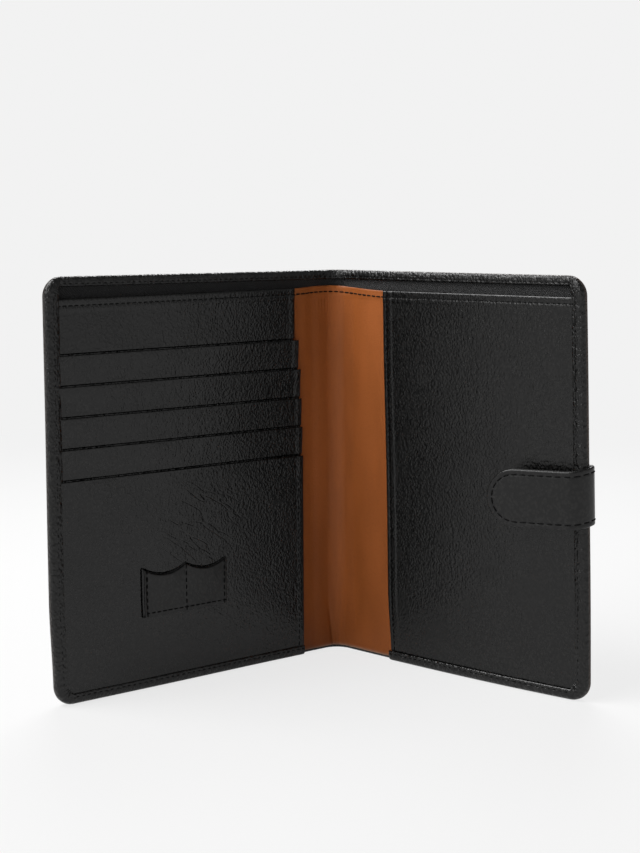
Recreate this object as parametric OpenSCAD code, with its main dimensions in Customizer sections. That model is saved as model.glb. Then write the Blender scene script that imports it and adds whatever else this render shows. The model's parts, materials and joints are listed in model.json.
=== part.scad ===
// Bifold passport wallet of black leather with a tan spine strip, standing open on its bottom edges.
// Each half is a stack of thin layers. In a half's own frame x runs from the fold line to the
// fore-edge, z runs up, and a depth is measured inwards from the outer face of the cover leather.
// The front half holds the card pockets, the back half the passport panel and the closing tab.

/* [Size] */
// Height of the wallet
height = 140; // [130:1:160]
// Width of one half, from its fold line to the fore-edge
half_w = 105; // [100:1:120]
// Width of the spine between the two fold lines
spine_w = 13; // [12:0.5:18]
// Radius of the outer corners
corner_r = 6.5; // [5.5:0.5:10]

/* [Stance] */
// Angle between the halves as the wallet stands open
open_angle = 105; // [92:1:140]
// Turn of the open wallet about the vertical
stand_turn = 2; // [-15:1:15]

/* [Cover] */
// Thickness of the cover leather
cover_t = 0.9; // [0.7:0.1:1.2]
// Thickness of the stiffening board
board_t = 0.4; // [0.3:0.1:0.8]
// Distance of the board from the edges of the cover
board_inset = 1.5; // [1.4:0.1:4]
// Distance of the board from the fold line
board_start = 3; // [2.5:0.5:8]
// Thickness of the lining cloth
lining_t = 0.15; // [0.1:0.05:0.3]
// Thickness of the leather turned over the edges
hem_t = 0.6; // [0.4:0.1:0.8]
// Width of the turned edge along the bottom and the fore-edge
hem_w = 5; // [5:0.1:8]
// Width of the turned edge along the top
top_hem_w = 3.3; // [3:0.1:5]
// Length of the top edge, beside each corner, on which the side hem ends
corner_lap = 1; // [0.5:0.1:2]

/* [Inner panels] */
// Room in the long pocket for banknotes
note_gap = 0.3; // [0.2:0.1:0.6]
// Room in the slip pocket behind each inner panel
slip_gap = 0.65; // [0.6:0.05:1]
// Thickness of the inner panels
panel_t = 0.6; // [0.4:0.1:0.9]
// Drop from the top of the cover to the top of the inner panels
panel_drop = 7; // [5.5:0.5:12]
// Distance of the card panel from the front fold line
card_start = 6.5; // [4:0.5:8]
// Distance of the passport panel from the back fold line
passport_start = 26.5; // [15:0.5:30]

/* [Card pockets] */
// Thickness of the card pocket leather
pocket_t = 0.45; // [0.3:0.05:0.6]
// Drop from the top of the cover to the first card slit
slit_drop = 25.4; // [20:0.1:30]
// Distance from one card slit to the next
slit_pitch = 10.3; // [8:0.1:11]
// Overlap of each card pocket on the layer above it
pocket_lap = 4; // [2:0.5:6]
// Step of each pocket's inner edge towards the spine
pocket_step = 0.28; // [0:0.02:0.3]

/* [Chip card pockets] */
// Width of the patch that forms the two small pockets
chip_w = 33; // [26:0.5:40]
// Height of the patch
chip_h = 16.5; // [14:0.5:20]
// Thickness of the patch
chip_t = 0.5; // [0.3:0.1:0.7]
// Distance of the patch from the front fold line
chip_start = 38; // [20:0.5:50]
// Height of the patch above the base
chip_z = 24.5; // [12:0.5:28]
// Depth of the scooped tops
chip_scoop = 2.8; // [1.5:0.1:4]
// Width of the points beside each scoop
chip_point = 0.8; // [0.5:0.1:2]

/* [Spine strip] */
// Thickness of the tan strip
strip_t = 0.5; // [0.4:0.05:0.55]
// Length of the strip that is tucked under each inner panel
strip_tuck = 6; // [4:0.5:10]
// Drop from the top of the cover to the top of the strip
strip_drop = 5.7; // [5:0.1:10]
// Height of the strip's lower end above the base
strip_base = 0.5; // [0.3:0.1:4]

/* [Closing tab] */
// Width of the tab
tab_w = 19; // [16:0.5:26]
// Height of the tab's centre line above the base
tab_z = 67.5; // [50:0.5:80]
// Length of the tab's free end, from its last fold to its tip
tab_end_l = 24; // [19:0.5:28]
// Angle at which the tab stands off the inside as it springs open
tab_lift = 5; // [0:1:6]
// Length of the tab that is sewn on the outside of the back cover
tab_root_l = 27; // [20:0.5:40]
// Thickness of the tab's outer leather
tab_top_t = 1; // [0.9:0.05:1.3]
// Thickness of the tab's lining leather
tab_lining_t = 0.8; // [0.7:0.05:1.2]
// Diameter of the magnet in the tab and of its keeper in the front cover
magnet_d = 12; // [8:0.5:14]
// Thickness of the magnet
magnet_t = 0.8; // [0.4:0.1:1]
// Distance of the magnet's centre from the tip of the tab
magnet_in = 10.5; // [9:0.5:13]

/* [Seams] */
// Distance from one stitch to the next
stitch_pitch = 3; // [2.8:0.1:6]
// Length of a stitch
stitch_l = 2; // [1.5:0.1:2.6]
// Width of a stitch
stitch_w = 0.5; // [0.3:0.1:0.8]
// Height of a stitch above the leather
stitch_t = 0.12; // [0.08:0.02:0.2]
// Distance of the edge seam from the fore-edge and the base
edge_seam = 4; // [3:0.1:4.2]
// Distance of the top seam from the top of the cover
top_seam = 2.5; // [1.5:0.1:2.6]
// Distance of the panel and strip seams from the edges that they hold
panel_seam = 2.2; // [1.5:0.1:3]
// Distance of the tab and patch seams from their edges
trim_seam = 1.8; // [1.2:0.1:2.4]
// Distance from a seam's end to the edge or the seam that it runs up to
seam_end = 1; // [0.5:0.1:2]

/* [Clearances] */
// Gap between two segments of one leather at a fold
fold_gap = 0.15; // [0.1:0.05:0.3]
// Gap between the inner layers at a fold when the wallet is shut
mitre_gap = 0.2; // [0.1:0.05:0.4]
// Gap between a layer's edge and the turned edge around it
seat_gap = 0.1; // [0.05:0.05:0.2]
// Gap between the tab and the leather that it wraps
wrap_gap = 0.3; // [0.2:0.05:0.6]

/* [Hidden] */
$fn = 64;

// Depths of the layers, from the outer face of the cover inwards
fold_d = cover_t / 2;
lining_d = cover_t + board_t;
top_hem_d = lining_d + lining_t;
strip_d = top_hem_d + note_gap;
panel_d = strip_d + slip_gap;
hem_d = panel_d + panel_t;
pocket_d = hem_d + lining_t;
chip_d = pocket_d + pocket_t;
seam_d = hem_d + hem_t;

// Starts of the layers beside a fold line, where they meet on a mitre when the wallet is shut
cover_start = fold_d + fold_gap;
lining_start = lining_d + lining_t - fold_d + mitre_gap;
top_hem_start = top_hem_d + hem_t + stitch_t - fold_d + mitre_gap;
strip_start = strip_d + strip_t + stitch_t - fold_d + mitre_gap;

// Edges and heights
rim_t = cover_t;
inner_inset = rim_t + seat_gap;
panel_top = height - panel_drop;
strip_top = height - strip_drop;
tuck_base = max(strip_base, inner_inset);
pocket_edge = half_w - hem_w - seat_gap;
last_pocket = 5;
cut_past = 1;

// Tab: its folds lie on the middle of its thickness, at the back edge, the inside and the far side
tab_t = tab_top_t + tab_lining_t;
tab_r = tab_t / 2;
tab_fold_u = half_w + wrap_gap + tab_r;
tab_gap = tab_r + fold_gap;
tab_inside_d = seam_d + stitch_t + wrap_gap;
tab_edge_d = tab_inside_d + tab_r;
tab_shut_d = spine_w + cover_t + wrap_gap + tab_r;
tab_reach_u = tab_fold_u - (tab_shut_d - tab_edge_d);
tab_tip_u = tab_reach_u - tab_end_l;
magnet_u = tab_tip_u + magnet_in;
magnet_depth = tab_inside_d + tab_lining_t - magnet_t / 2;
keeper_u = tab_fold_u - (tab_reach_u - magnet_u);
tab_low = tab_z - tab_w / 2;

// Directions of the two halves and the places of the fold lines, with the origin under mid-spine
bend = 180 - open_angle;
front_dir = 180 + bend / 2 - stand_turn;
back_dir = -bend / 2 - stand_turn;
front_fold = spine_w / 2 * [cos(front_dir), sin(front_dir), 0];
back_fold = -front_fold;

black = "#2b2b2d";
tan_brown = "#b97a45";
board_brown = "#8c8172";
steel = "#b9bcc0";
cloth = "#19191b";
thread = "#3a3a3c";

// Places a piece of the front half, with its fold line at the local origin
module in_front() {
    translate(front_fold) rotate(front_dir) mirror([0, 1, 0]) children();
}

// Places a piece of the spine, with x from the back fold line to the front one
module in_spine() {
    rotate(front_dir) mirror([0, 1, 0]) children();
}

// Places a piece of the back half, with its fold line at the local origin
module in_back() {
    translate(back_fold) rotate(back_dir) children();
}

// Sheet of thickness t at a depth, from an outline in x and z
module layer(depth, t) {
    translate([0, fold_d - depth, 0]) rotate([90, 0, 0]) linear_extrude(t) children();
}

// Bar along x from an outline of depths and heights
module bar(from, to, outline) {
    translate([from, 0, 0]) rotate([90, 0, 90]) linear_extrude(to - from)
        polygon([for (p = outline) [fold_d - p[0], p[1]]]);
}

// Outline of a half with its two outer corners rounded, drawn in by an inset
module half_outline(start, inset) {
    r = corner_r - inset;
    edge = half_w - inset;
    translate([start, inset]) square([edge - r - start, height - 2 * inset]);
    translate([start, inset + r]) square([edge - start, height - 2 * (inset + r)]);
    for (z = [inset + r, height - inset - r])
        translate([edge - r, z]) circle(r);
}

// Outline of an inner sheet that fills a half from a start line up to a top line
module panel_outline(start, top) {
    intersection() {
        half_outline(start, inner_inset);
        square([half_w, top]);
    }
}

// Upright strip outline between two lines
module upright(from, to, low, high) {
    translate([from, low]) square([to - from, high - low]);
}

// Leather turned over the top edge, a wall and a lip
module top_edge(from, to) {
    layer(cover_t, top_hem_d + hem_t - cover_t) upright(from, to, height - rim_t, height);
    layer(top_hem_d, hem_t) upright(from, to, height - top_hem_w, height);
}

// Leather turned over the base, the fore-edge and the top of a half
module turned_edge(start) {
    layer(cover_t, seam_d - cover_t) difference() {
        half_outline(start, 0);
        half_outline(start - cut_past, rim_t);
        upright(start - cut_past, half_w - corner_r - corner_lap, height - corner_r, height + cut_past);
    }
    layer(hem_d, hem_t) difference() {
        half_outline(start, 0);
        upright(start - cut_past, half_w - hem_w, hem_w, height + cut_past);
    }
    top_edge(top_hem_start, half_w - corner_r);
}

// Number of stitches that fit a seam
function stitch_count(run) = floor((run - stitch_l) / stitch_pitch) + 1;

// First stitch's offset, which centres the row on its seam
function stitch_lead(run) = (run - stitch_l - (stitch_count(run) - 1) * stitch_pitch) / 2;

// Outlines of a level row of stitches
module level_row(from, to, z) {
    run = to - from;
    for (i = [0 : stitch_count(run) - 1])
        translate([from + stitch_lead(run) + i * stitch_pitch, z - stitch_w / 2])
            square([stitch_l, stitch_w]);
}

// Outlines of an upright row of stitches
module upright_row(x, low, high) {
    run = high - low;
    for (i = [0 : stitch_count(run) - 1])
        translate([x - stitch_w / 2, low + stitch_lead(run) + i * stitch_pitch])
            square([stitch_w, stitch_l]);
}

// Seams of a half's turned edge: base, fore-edge and top
module edge_seams(start) {
    layer(seam_d, stitch_t) level_row(start, half_w - hem_w, edge_seam);
    layer(seam_d, stitch_t) upright_row(half_w - edge_seam, hem_w, height - hem_w);
    layer(top_hem_d + hem_t, stitch_t) level_row(top_hem_start, half_w - corner_r, height - top_seam);
}

// Front half

module front_cover() {
    color(black) in_front() layer(0, cover_t) half_outline(cover_start, 0);
}

module front_turned_edge() {
    color(black) in_front() turned_edge(card_start);
}

module front_board() {
    color(board_brown) in_front() layer(cover_t, board_t) difference() {
        half_outline(board_start, board_inset);
        translate([keeper_u, tab_z]) circle(d = magnet_d + 2 * seat_gap);
    }
}

module front_lining() {
    color(cloth) in_front() layer(lining_d, lining_t) half_outline(lining_start, inner_inset);
}

module front_edge_thread() {
    color(thread) in_front() edge_seams(card_start);
}

// Cloth back of the slip pocket behind the card panel
module card_panel_lining() {
    color(cloth) in_front() layer(strip_d, lining_t)
        panel_outline(card_start + strip_tuck + seat_gap, panel_top);
}

module card_panel() {
    color(black) in_front() layer(panel_d, panel_t) panel_outline(card_start, panel_top);
}

// Top line of one of the card pockets
function slit(i) = height - slit_drop - (i - 1) * slit_pitch;

// Inner edge of one of the card pockets
function pocket_start(i) = card_start - i * pocket_step;

// Cloth tails of the card pockets, sewn in as one sheet
module card_pocket_lining() {
    color(cloth) in_front() layer(hem_d, lining_t)
        upright(card_start, pocket_edge, hem_w + seat_gap, slit(1) - pocket_lap);
}

// Card pocket: its lip lies on the layer above, its body slopes down to the next lip
module card_pocket(i) {
    top = slit(i);
    low = i < last_pocket ? slit(i + 1) - pocket_lap : hem_w + seat_gap;
    flat_z = slit(i + 1) + pocket_t;
    outer_d = pocket_d + pocket_t;
    color(black) in_front() bar(pocket_start(i), pocket_edge, [
        [outer_d + pocket_t, top],
        [outer_d, top],
        [outer_d, top - pocket_lap],
        [pocket_d, top - pocket_lap],
        [pocket_d, low],
        [outer_d, low],
        [outer_d, flat_z]
    ]);
}

// Seams of the card panel's top edge and of the lowest pocket's inner edge
module card_panel_thread() {
    color(thread) in_front() {
        layer(hem_d, stitch_t) level_row(card_start + panel_seam, pocket_edge, panel_top - panel_seam);
        layer(chip_d, stitch_t)
            upright_row(pocket_start(last_pocket) + panel_seam, hem_w + seam_end, slit(last_pocket + 1));
    }
}

// Patch with two scooped openings, for chip cards
module chip_pocket_patch() {
    chord = chip_w / 2 - 2 * chip_point;
    scoop_r = (chord * chord / 4 + chip_scoop * chip_scoop) / (2 * chip_scoop);
    color(black) in_front() layer(chip_d, chip_t) translate([chip_start, chip_z]) difference() {
        square([chip_w, chip_h]);
        for (x = [chip_w / 4, chip_w * 3 / 4])
            translate([x, chip_h - chip_scoop + scoop_r]) circle(scoop_r);
    }
}

// Seams of the patch: its sides, the line between the pockets and the base
module chip_pocket_thread() {
    low = chip_z + trim_seam + stitch_w;
    high = chip_z + chip_h - chip_scoop;
    color(thread) in_front() layer(chip_d + chip_t, stitch_t) {
        level_row(chip_start + trim_seam, chip_start + chip_w - trim_seam, chip_z + trim_seam);
        for (x = [trim_seam, chip_w / 2, chip_w - trim_seam])
            upright_row(chip_start + x, low, high);
    }
}

// Steel disc in the board, which the tab's magnet holds
module magnet_keeper() {
    color(steel) in_front() layer(cover_t, board_t)
        translate([keeper_u, tab_z]) circle(d = magnet_d);
}

// Outline of the tan strip beside a fold line: its edge is tucked under a panel and clears the turned base
module strip_outline(panel_start) {
    upright(strip_start, panel_start - seat_gap, strip_base, strip_top);
    upright(strip_start, panel_start + strip_tuck, tuck_base, strip_top);
}

// Tan strip beyond the front fold line, tucked under the card panel
module spine_strip_front() {
    color(tan_brown) in_front() layer(strip_d, strip_t) strip_outline(card_start);
}

// Spine

// Outer leather between the fold lines, with a round bead on each
module spine_cover() {
    color(black) in_spine() {
        layer(0, cover_t) upright(-spine_w / 2, spine_w / 2, 0, height);
        for (x = [-spine_w / 2, spine_w / 2])
            translate([x, 0, 0]) cylinder(r = fold_d, h = height);
    }
}

module spine_turned_edge() {
    end = spine_w / 2 - top_hem_start;
    color(black) in_spine() top_edge(-end, end);
}

module spine_lining() {
    end = spine_w / 2 - lining_start;
    color(cloth) in_spine() layer(lining_d, lining_t) upright(-end, end, inner_inset, height - inner_inset);
}

// Tan strip between the fold lines
module spine_strip() {
    end = spine_w / 2 - strip_start;
    color(tan_brown) in_spine() layer(strip_d, strip_t) upright(-end, end, strip_base, strip_top);
}

module spine_strip_thread() {
    end = spine_w / 2 - strip_start;
    color(thread) in_spine() layer(strip_d + strip_t, stitch_t)
        level_row(-end, end, strip_top - panel_seam);
}

module spine_edge_thread() {
    end = spine_w / 2 - top_hem_start;
    color(thread) in_spine() layer(top_hem_d + hem_t, stitch_t) level_row(-end, end, height - top_seam);
}

// Back half

module back_cover() {
    color(black) in_back() layer(0, cover_t) half_outline(cover_start, 0);
}

module back_turned_edge() {
    color(black) in_back() turned_edge(passport_start);
}

module back_board() {
    color(board_brown) in_back() layer(cover_t, board_t) half_outline(board_start, board_inset);
}

module back_lining() {
    color(cloth) in_back() layer(lining_d, lining_t) half_outline(lining_start, inner_inset);
}

module back_edge_thread() {
    color(thread) in_back() edge_seams(passport_start);
}

// Cloth back of the passport pocket
module passport_panel_lining() {
    color(cloth) in_back() layer(strip_d, lining_t)
        panel_outline(passport_start + strip_tuck + seat_gap, panel_top);
}

module passport_panel() {
    color(black) in_back() layer(panel_d, panel_t) panel_outline(passport_start, panel_top);
}

// Seams of the passport panel's top edge and inner edge
module passport_panel_thread() {
    inner = passport_start + panel_seam;
    color(thread) in_back() layer(hem_d, stitch_t) {
        level_row(inner + stitch_w, pocket_edge, panel_top - panel_seam);
        upright_row(inner, hem_w + seam_end, panel_top - panel_seam - seam_end);
    }
}

// Tan strip beyond the back fold line, tucked under the passport panel
module spine_strip_back() {
    color(tan_brown) in_back() layer(strip_d, strip_t) strip_outline(passport_start);
}

module spine_strip_back_thread() {
    color(thread) in_back() layer(strip_d + strip_t, stitch_t)
        level_row(strip_start, passport_start, strip_top - panel_seam);
}

// Closing tab

// Places a piece of the tab, drawn as if flat on the inside, and lifts it about the fold at the fore-edge
module in_tab() {
    fold = [tab_fold_u, fold_d - tab_edge_d, 0];
    in_back() translate(fold) rotate(tab_lift) translate(-fold) children();
}

// Plate of the tab, from an x to another and from a depth to another
module tab_plate(from, to, depth, end_depth) {
    translate([from, fold_d - end_depth, tab_low]) cube([to - from, end_depth - depth, tab_w]);
}

// Round bead on one of the tab's folds
module tab_bead(x, depth) {
    translate([x, fold_d - depth, tab_low]) cylinder(r = tab_r, h = tab_w);
}

// Outline of the tab's free end, from the tip to its last fold
module tab_end_outline() {
    r = tab_w / 2;
    upright(tab_tip_u + r, tab_reach_u - tab_gap, tab_low, tab_low + tab_w);
    translate([tab_tip_u + r, tab_z]) circle(r);
}

// Round seat for the magnet
module magnet_seat() {
    layer(magnet_depth, magnet_t) translate([magnet_u, tab_z]) circle(d = magnet_d + 2 * seat_gap);
}

// Sewn end of the tab on the outside of the back cover
module tab_root() {
    color(black) in_back() {
        tab_plate(half_w - tab_root_l, tab_fold_u, -tab_t, 0);
        tab_bead(tab_fold_u, -tab_r);
    }
}

// Box seam that holds the tab on the back cover
module tab_root_thread() {
    from = half_w - tab_root_l + trim_seam;
    to = half_w - edge_seam;
    color(thread) in_back() layer(-tab_t - stitch_t, stitch_t) {
        for (z = [tab_low + trim_seam, tab_low + tab_w - trim_seam])
            level_row(from, to, z);
        for (x = [from, to])
            upright_row(x, tab_low + trim_seam + stitch_w, tab_low + tab_w - trim_seam - stitch_w);
    }
}

// Tab leather round the fore-edge of the back half
module tab_edge_bend() {
    color(black) in_back() {
        tab_plate(tab_fold_u - tab_r, tab_fold_u + tab_r, tab_gap - tab_r, tab_edge_d);
        tab_bead(tab_fold_u, tab_edge_d);
    }
}

// Tab leather that spans the shut wallet's thickness
module tab_reach_bend() {
    color(black) in_tab() {
        tab_plate(tab_reach_u, tab_fold_u - tab_gap, tab_inside_d, tab_inside_d + tab_t);
        tab_bead(tab_reach_u, tab_edge_d);
    }
}

module tab_top_leather() {
    color(black) in_tab() difference() {
        layer(tab_inside_d + tab_lining_t, tab_top_t) tab_end_outline();
        magnet_seat();
    }
}

module tab_lining() {
    color(black) in_tab() difference() {
        layer(tab_inside_d, tab_lining_t) tab_end_outline();
        magnet_seat();
    }
}

// Magnet closed in between the tab's two leathers
module tab_magnet() {
    color(steel) in_tab() layer(magnet_depth, magnet_t)
        translate([magnet_u, tab_z]) circle(d = magnet_d);
}

// Seam along the tab's two sides and round its tip
module tab_thread() {
    end_r = tab_w / 2;
    seam_r = end_r - trim_seam;
    round_count = floor(PI * seam_r / stitch_pitch);
    color(thread) in_tab() layer(tab_inside_d + tab_t, stitch_t) {
        for (z = [tab_z - seam_r, tab_z + seam_r])
            level_row(tab_tip_u + end_r + stitch_w, tab_reach_u - tab_gap, z);
        for (i = [0 : round_count])
            translate([tab_tip_u + end_r, tab_z])
                rotate(90 + (i + 0.5) * 180 / (round_count + 1))
                    translate([seam_r - stitch_w / 2, -stitch_l / 2]) square([stitch_w, stitch_l]);
    }
}

front_cover();
front_turned_edge();
front_board();
front_lining();
front_edge_thread();
card_panel_lining();
card_panel();
card_pocket_lining();
card_pocket(1);  // card_pocket_1
card_pocket(2);  // card_pocket_2
card_pocket(3);  // card_pocket_3
card_pocket(4);  // card_pocket_4
card_pocket(5);  // card_pocket_5
card_panel_thread();
chip_pocket_patch();
chip_pocket_thread();
magnet_keeper();
spine_strip_front();
spine_cover();
spine_turned_edge();
spine_lining();
spine_strip();
spine_strip_thread();
spine_edge_thread();
back_cover();
back_turned_edge();
back_board();
back_lining();
back_edge_thread();
passport_panel_lining();
passport_panel();
passport_panel_thread();
spine_strip_back();
spine_strip_back_thread();
tab_root();
tab_root_thread();
tab_edge_bend();
tab_reach_bend();
tab_top_leather();
tab_lining();
tab_magnet();
tab_thread();
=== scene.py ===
import json
import math

import bmesh
import bpy
import numpy as np
from mathutils import Matrix, Vector


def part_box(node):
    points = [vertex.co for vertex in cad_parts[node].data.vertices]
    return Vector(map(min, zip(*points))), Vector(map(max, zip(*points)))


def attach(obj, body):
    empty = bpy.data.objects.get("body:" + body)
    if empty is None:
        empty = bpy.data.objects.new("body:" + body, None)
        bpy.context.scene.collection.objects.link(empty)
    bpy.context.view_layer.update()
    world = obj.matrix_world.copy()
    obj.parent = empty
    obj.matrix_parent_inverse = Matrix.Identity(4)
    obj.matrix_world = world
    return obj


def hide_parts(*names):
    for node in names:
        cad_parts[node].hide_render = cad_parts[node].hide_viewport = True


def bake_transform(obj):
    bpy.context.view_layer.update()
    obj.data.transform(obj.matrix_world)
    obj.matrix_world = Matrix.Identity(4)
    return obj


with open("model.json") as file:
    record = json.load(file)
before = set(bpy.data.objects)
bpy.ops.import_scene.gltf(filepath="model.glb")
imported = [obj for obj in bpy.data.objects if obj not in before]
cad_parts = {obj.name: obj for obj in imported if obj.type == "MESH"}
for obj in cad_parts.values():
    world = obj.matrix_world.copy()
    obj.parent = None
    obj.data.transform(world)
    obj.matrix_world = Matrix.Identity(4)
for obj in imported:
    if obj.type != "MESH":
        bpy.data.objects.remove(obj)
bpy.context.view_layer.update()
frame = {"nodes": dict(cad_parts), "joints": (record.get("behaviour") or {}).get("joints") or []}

# Cover
# One sheet of black pebbled leather runs round the front, the spine and the back. Its edges are turned in
# over the base, the fore-edges and the top as a soft sewn hem, gathered in small pleats at the corners.

MM = 0.001
joints = {joint["name"]: joint for joint in frame["joints"]}
front_fold, back_fold = (np.array(joints[name]["pos_m"][:2]) / MM for name in ("front_fold", "back_fold"))
spine_w = np.linalg.norm(front_fold - back_fold)
front_way = (front_fold - back_fold) / spine_w
bend = -math.radians(joints["back_fold"]["range_deg"][0])


def box_mm(name):
    """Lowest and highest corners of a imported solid, in mm."""
    return [np.array(corner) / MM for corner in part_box(name)]


def front_runs(name):
    """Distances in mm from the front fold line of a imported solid's corners."""
    corners = np.array([v.co[:2] for v in frame["nodes"][name].data.vertices]) / MM
    return (corners - front_fold) @ front_way


height = box_mm("front_cover")[1][2]
half_w = front_runs("front_cover").max()

fold_d = 0.45
fold_r = 8.1
back_bow = 1.6
front_twist = -1.5
back_twist = 1.1
ripple_h = 0.16
card_start = 7.5
passport_start = 26.5


def smooth(value, low, high):
    """Eased step from 0 at low to 1 at high."""
    t = np.clip((value - low) / (high - low), 0, 1)
    return t * t * (3 - 2 * t)


def bell(value, width):
    """Hump that is 1 at 0 and dies away within a few widths."""
    return np.exp(-(value / width) ** 2)


def shares(s):
    """How far out a run lies on the front half and on the back half, from 0 at the fold to 1 at the edge."""
    return np.clip((-s - spine_w) / half_w, 0, 1), np.clip(s / half_w, 0, 1)


def slack(s, z):
    """Inward bow, twist and ripple of the two halves, which all the layers of the wallet share."""
    front, back = shares(s)
    lean = z / height - 0.5
    ripple = ripple_h * np.sin(s / 17 + z / 31) * np.sin(z / 23 - s / 41)
    bow = 4 * back_bow * back * (1 - back)
    return bow + (front_twist * front + back_twist * back) * lean + ripple * smooth(front + back, 0, 0.2)


def skew(s, z):
    """Run and height of a point once the halves have stretched a little out of square in use."""
    front, back = shares(s)
    shorter = front * (0.45 + 0.95 * smooth(z, 35, 3))
    longer = back * 1.2 * (1 - (np.clip(z, 0, None) / 102) ** 1.5)
    return s + shorter + longer, z + 0.5 * front * smooth(z, 40, height)


def inward(heading):
    """Direction into the open wallet, square to a heading along it from the front to the back."""
    return np.stack([np.sin(heading), -np.cos(heading)], -1)


def place(s, z, depth):
    """Points in metres from lengths in mm: s runs along the open wallet from the back fold line and is
    positive on the back half, z is the height, and depth runs inwards from the cover's outer face."""
    s, z, depth = np.broadcast_arrays(*(np.asarray(v, float) for v in (s, z, depth)))
    s, z = skew(s, z)
    ease = fold_r * math.tan(bend / 2)
    spine_heading = math.atan2(-front_way[1], -front_way[0])
    back_heading = spine_heading - bend
    centre = back_fold + ease * front_way + fold_r * inward(spine_heading)
    side = inward(spine_heading - bend * np.clip((s + ease) / (2 * ease), 0, 1))
    plan = centre - fold_r * side
    plan = plan - np.minimum(s + ease, 0)[..., None] * front_way
    plan = plan + np.maximum(s - ease, 0)[..., None] * [math.cos(back_heading), math.sin(back_heading)]
    plan = plan + (depth - fold_d + slack(s, z))[..., None] * side
    return np.concatenate([plan, z[..., None]], -1) * MM


def front_s(u):
    """Run of a point on the front half, from its distance to the front fold line."""
    return -spine_w - u


def marks(start, stop, step):
    """Evenly spaced marks, about a step apart."""
    return np.linspace(start, stop, max(1, round(abs(stop - start) / step)) + 1)


def add(name, data):
    """New object in the scene, from its mesh, lamp or camera."""
    made = bpy.data.objects.new(name, data)
    bpy.context.scene.collection.objects.link(made)
    return made


def weld(name, lays, to_world=place, wear_and_shade=None):
    """One closed smooth mesh from grids of lay coordinates, whose shared borders are merged. The lay of each
    point and its share of scuffing, burnish and painted edge shade stay on the mesh for its material."""
    lay = np.concatenate([grid.reshape(-1, 3) for grid in lays])
    worn_and_shaded = np.zeros(len(lay)) if wear_and_shade is None else np.concatenate([grid.ravel() for grid in wear_and_shade])
    faces = []
    first = 0
    for grid in lays:
        rows, columns = grid.shape[:2]
        index = first + np.arange(rows * columns).reshape(rows, columns)
        corners = (index[:-1, :-1], index[1:, :-1], index[1:, 1:], index[:-1, 1:])
        faces += np.stack(corners, -1).reshape(-1, 4).tolist()
        first += rows * columns
    mesh = bpy.data.meshes.new(name)
    mesh.from_pydata(to_world(*lay.T).tolist(), [], faces)
    mesh.attributes.new("lay", "FLOAT_VECTOR", "POINT").data.foreach_set("vector", (lay * MM).ravel())
    mesh.attributes.new("wear_and_shade", "FLOAT", "POINT").data.foreach_set("value", worn_and_shaded)
    work = bmesh.new()
    work.from_mesh(mesh)
    near = 1e-6
    bmesh.ops.remove_doubles(work, verts=work.verts, dist=near)
    bmesh.ops.dissolve_degenerate(work, edges=work.edges, dist=near)
    bmesh.ops.holes_fill(work, edges=[edge for edge in work.edges if edge.is_boundary], sides=0)
    bmesh.ops.recalc_face_normals(work, faces=work.faces)
    work.to_mesh(mesh)
    work.free()
    mesh.shade_smooth()
    mesh.set_sharp_from_angle(angle=math.radians(50))
    return add(name, mesh)


def node(tree, kind, inputs=None, **settings):
    """Adds a shader node. An input is a plain value or another node's output."""
    made = tree.nodes.new(kind)
    for key, value in settings.items():
        setattr(made, key, value)
    for key, value in (inputs or {}).items():
        if isinstance(value, bpy.types.NodeSocket):
            tree.links.new(value, made.inputs[key])
        else:
            made.inputs[key].default_value = value
    return made


def math_node(tree, operation, *values):
    """Output of a Math node on values or outputs."""
    return node(tree, "ShaderNodeMath", dict(enumerate(values)), operation=operation).outputs[0]


def span(tree, value, low, high, to_low=0.0, to_high=1.0):
    """Output of an eased Map Range node."""
    inputs = {"Value": value, "From Min": low, "From Max": high, "To Min": to_low, "To Max": to_high}
    return node(tree, "ShaderNodeMapRange", inputs, interpolation_type="SMOOTHSTEP").outputs["Result"]


def mix_colour(tree, share, first, second):
    """Output of a colour mix."""
    made = node(tree, "ShaderNodeMix", data_type="RGBA")
    for key, value in ((0, share), (6, first), (7, second)):
        if isinstance(value, bpy.types.NodeSocket):
            tree.links.new(value, made.inputs[key])
        else:
            made.inputs[key].default_value = value if key == 0 else (*value, 1)
    return made.outputs[2]


def blank(name):
    """New material with its node tree and its shader."""
    material = bpy.data.materials.new(name)
    material.use_nodes = True
    return material, material.node_tree, material.node_tree.nodes["Principled BSDF"]


def stored(tree, name, output="Vector"):
    """Output of what a mesh keeps for its material: its lay, or its share of scuffing, burnish and painted
    edge shade.
    """
    return node(tree, "ShaderNodeAttribute", attribute_name=name).outputs[output]


def noise(tree, at, scale, detail, output="Fac"):
    """Output of a noise pattern."""
    return node(tree, "ShaderNodeTexNoise", {"Vector": at, "Scale": scale, "Detail": detail}).outputs[output]


def drawn_out(tree, at, scale):
    """Coordinates that are scaled apart along each axis."""
    return node(tree, "ShaderNodeMapping", {"Vector": at, "Scale": scale}).outputs[0]


def ridges(tree, pattern, width):
    """1 along the lines where a noise pattern crosses its middle, and 0 away from them."""
    aside = math_node(tree, "ABSOLUTE", math_node(tree, "SUBTRACT", pattern, 0.5))
    return math_node(tree, "SUBTRACT", 1.0, span(tree, aside, 0.0, width))


def burnish(tree, wear_and_shade):
    """Share of burnishing, which the mesh keeps as wear below 0."""
    return math_node(tree, "MAXIMUM", math_node(tree, "MULTIPLY", wear_and_shade, -1.0), 0.0)


def shade(colour, share):
    """A colour made darker or lighter."""
    return tuple(c * share for c in colour)


def dress(tree, shader, colour, roughness, relief=None, strength=1.0, distance=0.0001):
    """Links a material's colour, roughness and relief to its shader."""
    tree.links.new(colour, shader.inputs["Base Color"])
    tree.links.new(roughness, shader.inputs["Roughness"])
    if relief is not None:
        bump = node(tree, "ShaderNodeBump", {"Height": relief, "Strength": strength, "Distance": distance})
        tree.links.new(bump.outputs["Normal"], shader.inputs["Normal"])


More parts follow.
